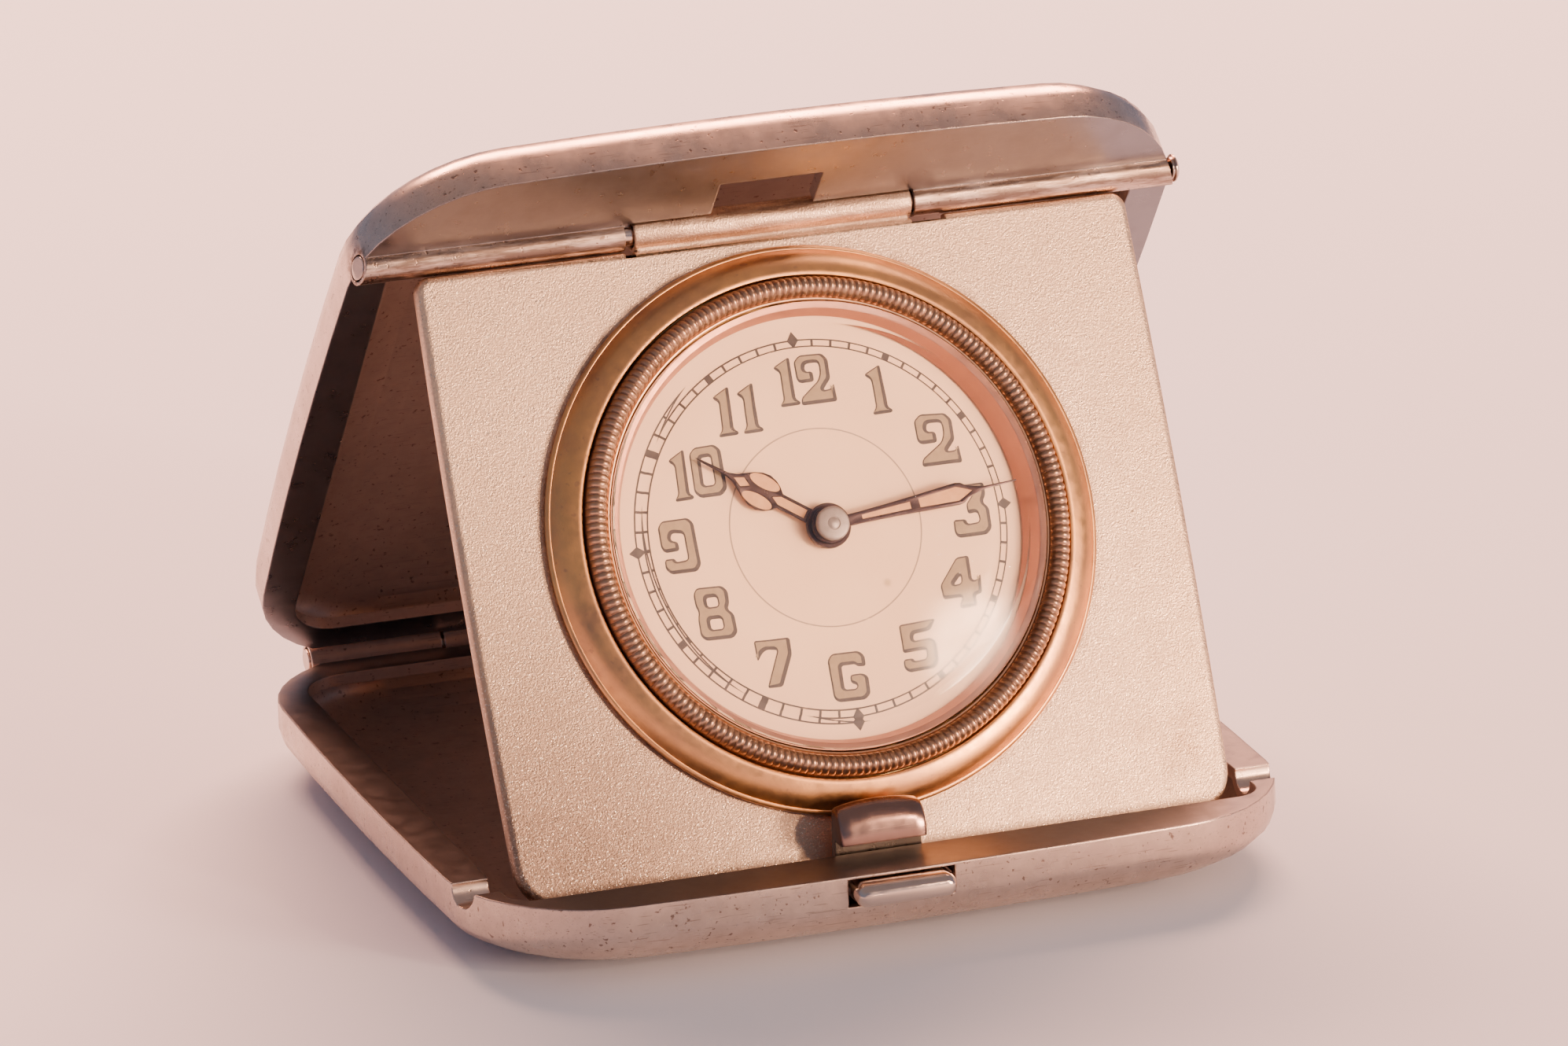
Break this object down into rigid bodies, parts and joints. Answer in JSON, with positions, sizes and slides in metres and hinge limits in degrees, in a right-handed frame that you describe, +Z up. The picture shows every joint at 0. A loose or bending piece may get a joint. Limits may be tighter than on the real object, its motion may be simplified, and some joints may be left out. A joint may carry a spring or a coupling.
{
  "type": "folding travel clock",
  "caption": "Folding travel clock: two hinged silver shells and a hinged clock plate that swings out to stand as an easel, with a round dial, push latch and wound movement.",
  "frame": {"origin": "middle of the footprint, on the table under the base shell", "axes": "+Z up, +X to the right of the dial, the dial faces -Y and up"},
  "size_m": [0.0648, 0.0658, 0.0562],
  "materials": {
    "silver": "worn satin silver, lightly scratched and pitted",
    "polished_silver": "polished silver, worn smooth",
    "gilt": "gilt brass, worn to copper tones",
    "copper": "satin copper-toned brass",
    "crystal_glass": "clear polished glass",
    "dial_paint": "matt cream enamel paint",
    "blued_steel": "blued steel",
    "steel": "polished steel",
    "movement_brass": "satin gilt brass"
  },
  "bodies": {
    "base": {"base_shell": "silver", "case_hinge_pin": "polished_silver", "latch_spring": "steel", "spring_rivet_rear": "steel", "spring_rivet_front": "steel"},
    "latch": {"latch_tongue": "polished_silver", "push_button": "polished_silver"},
    "cover": {"back_shell": "silver", "plate_hinge_pin": "polished_silver"},
    "clock": {"clock_plate": "silver", "gilt_ring": "gilt", "milled_bezel": "gilt", "crystal": "crystal_glass", "rehaut_ring": "copper", "dial": "dial_paint", "movement_case": "movement_brass", "case_back_cover": "movement_brass", "main_plate": "movement_brass", "three_quarter_plate": "movement_brass", "pallet_cock": "movement_brass", "balance_cock": "movement_brass", "crown_wheel_screw": "steel", "pillar_1": "movement_brass", "pillar_2": "movement_brass", "pillar_3": "movement_brass", "pillar_4": "movement_brass", "pillar_screw_1": "steel", "pillar_screw_2": "steel", "pillar_screw_3": "steel", "pillar_screw_4": "steel"},
    "minute": {"minute_hand": "blued_steel", "hand_cap": "steel", "cannon_pinion": "steel", "centre_wheel": "movement_brass"},
    "hour": {"hour_hand": "blued_steel", "hour_wheel": "movement_brass"},
    "motion_work": {"minute_wheel": "movement_brass"},
    "third": {"third_wheel": "movement_brass"},
    "fourth": {"fourth_wheel": "movement_brass"},
    "escape": {"escape_wheel": "movement_brass"},
    "pallets": {"pallet_fork": "steel"},
    "balance": {"balance_wheel": "movement_brass", "hairspring": "blued_steel"},
    "barrel_drum": {"barrel": "movement_brass", "barrel_cover": "movement_brass", "mainspring": "blued_steel"},
    "ratchet": {"ratchet_wheel": "steel", "barrel_arbor": "steel"},
    "crown_gear": {"crown_wheel": "steel"},
    "click_lever": {"click": "steel"},
    "crown": {"winding_crown": "gilt", "winding_stem": "steel"}
  },
  "joints": [
    {"name": "case_hinge", "type": "hinge", "parent": "base", "child": "cover", "pos_m": [0, 0.03057, 0.0064], "axis": [-1, 0, 0], "range_deg": [0, 120]},
    {"name": "plate_hinge", "type": "hinge", "parent": "cover", "child": "clock", "pos_m": [0, -0.00279, 0.04759], "axis": [1, 0, 0], "range_deg": [0, 65.4]},
    {"name": "latch_slide", "type": "slide", "parent": "base", "child": "latch", "axis": [0, 1, 0], "range_m": [0, 0.00075], "stiffness_N_per_m": 400, "deforming": ["latch_spring"]},
    {"name": "minute_turn", "type": "hinge", "parent": "clock", "child": "minute", "pos_m": [-0.0004, -0.01324, 0.02654], "axis": [0, 0.8957, -0.4446], "continuous": true},
    {"name": "hour_turn", "type": "hinge", "parent": "clock", "child": "hour", "pos_m": [-0.0004, -0.01324, 0.02654], "axis": [0, 0.8957, -0.4446], "continuous": true},
    {"name": "minute_wheel_turn", "type": "hinge", "parent": "clock", "child": "motion_work", "pos_m": [-0.00434, -0.01222, 0.02858], "axis": [0, 0.8957, -0.4446], "continuous": true},
    {"name": "third_turn", "type": "hinge", "parent": "clock", "child": "third", "pos_m": [-0.00519, -0.01401, 0.02498], "axis": [0, 0.8957, -0.4446], "continuous": true},
    {"name": "fourth_turn", "type": "hinge", "parent": "clock", "child": "fourth", "pos_m": [-0.00366, -0.01588, 0.02121], "axis": [0, 0.8957, -0.4446], "continuous": true},
    {"name": "escape_turn", "type": "hinge", "parent": "clock", "child": "escape", "pos_m": [0.00003, -0.01617, 0.02063], "axis": [0, 0.8957, -0.4446], "continuous": true},
    {"name": "pallet_rock", "type": "hinge", "parent": "clock", "child": "pallets", "pos_m": [0.00298, -0.0164, 0.02016], "axis": [0, 0.8957, -0.4446], "range_deg": [-5, 5]},
    {"name": "balance_swing", "type": "hinge", "parent": "clock", "child": "balance", "pos_m": [0.00692, -0.01609, 0.02079], "axis": [0, 0.8957, -0.4446], "range_deg": [-135, 135], "stiffness_Nm_per_rad": 0.000002},
    {"name": "barrel_turn", "type": "hinge", "parent": "clock", "child": "barrel_drum", "pos_m": [0.0048, -0.0105, 0.03205], "axis": [0, 0.8957, -0.4446], "continuous": true},
    {"name": "crown_turn", "type": "hinge", "parent": "clock", "child": "crown", "pos_m": [0.01064, -0.01064, 0.02525], "axis": [1, 0, 0], "continuous": true},
    {"name": "crown_wheel_turn", "type": "hinge", "parent": "clock", "child": "crown_gear", "pos_m": [0.00864, -0.01324, 0.02654], "axis": [0, 0.8957, -0.4446], "continuous": true},
    {"name": "ratchet_turn", "type": "hinge", "parent": "clock", "child": "ratchet", "pos_m": [0.0048, -0.0105, 0.03205], "axis": [0, 0.8957, -0.4446], "continuous": true},
    {"name": "click_lift", "type": "hinge", "parent": "clock", "child": "click_lever", "pos_m": [-0.0013, -0.01186, 0.02932], "axis": [0, 0.8957, -0.4446], "range_deg": [0, 8], "stiffness_Nm_per_rad": 0.00001}
  ],
  "couplings": [
    {"joint": "plate_hinge", "follows": "case_hinge", "ratio": 0.545},
    {"joint": "hour_turn", "follows": "minute_turn", "ratio": 0.083333},
    {"joint": "minute_wheel_turn", "follows": "minute_turn", "ratio": -0.33333},
    {"joint": "third_turn", "follows": "minute_turn", "ratio": -8},
    {"joint": "barrel_turn", "follows": "minute_turn", "ratio": -0.16667},
    {"joint": "crown_wheel_turn", "follows": "crown_turn", "ratio": -0.47059},
    {"joint": "ratchet_turn", "follows": "crown_turn", "ratio": 0.33333}
  ]
}
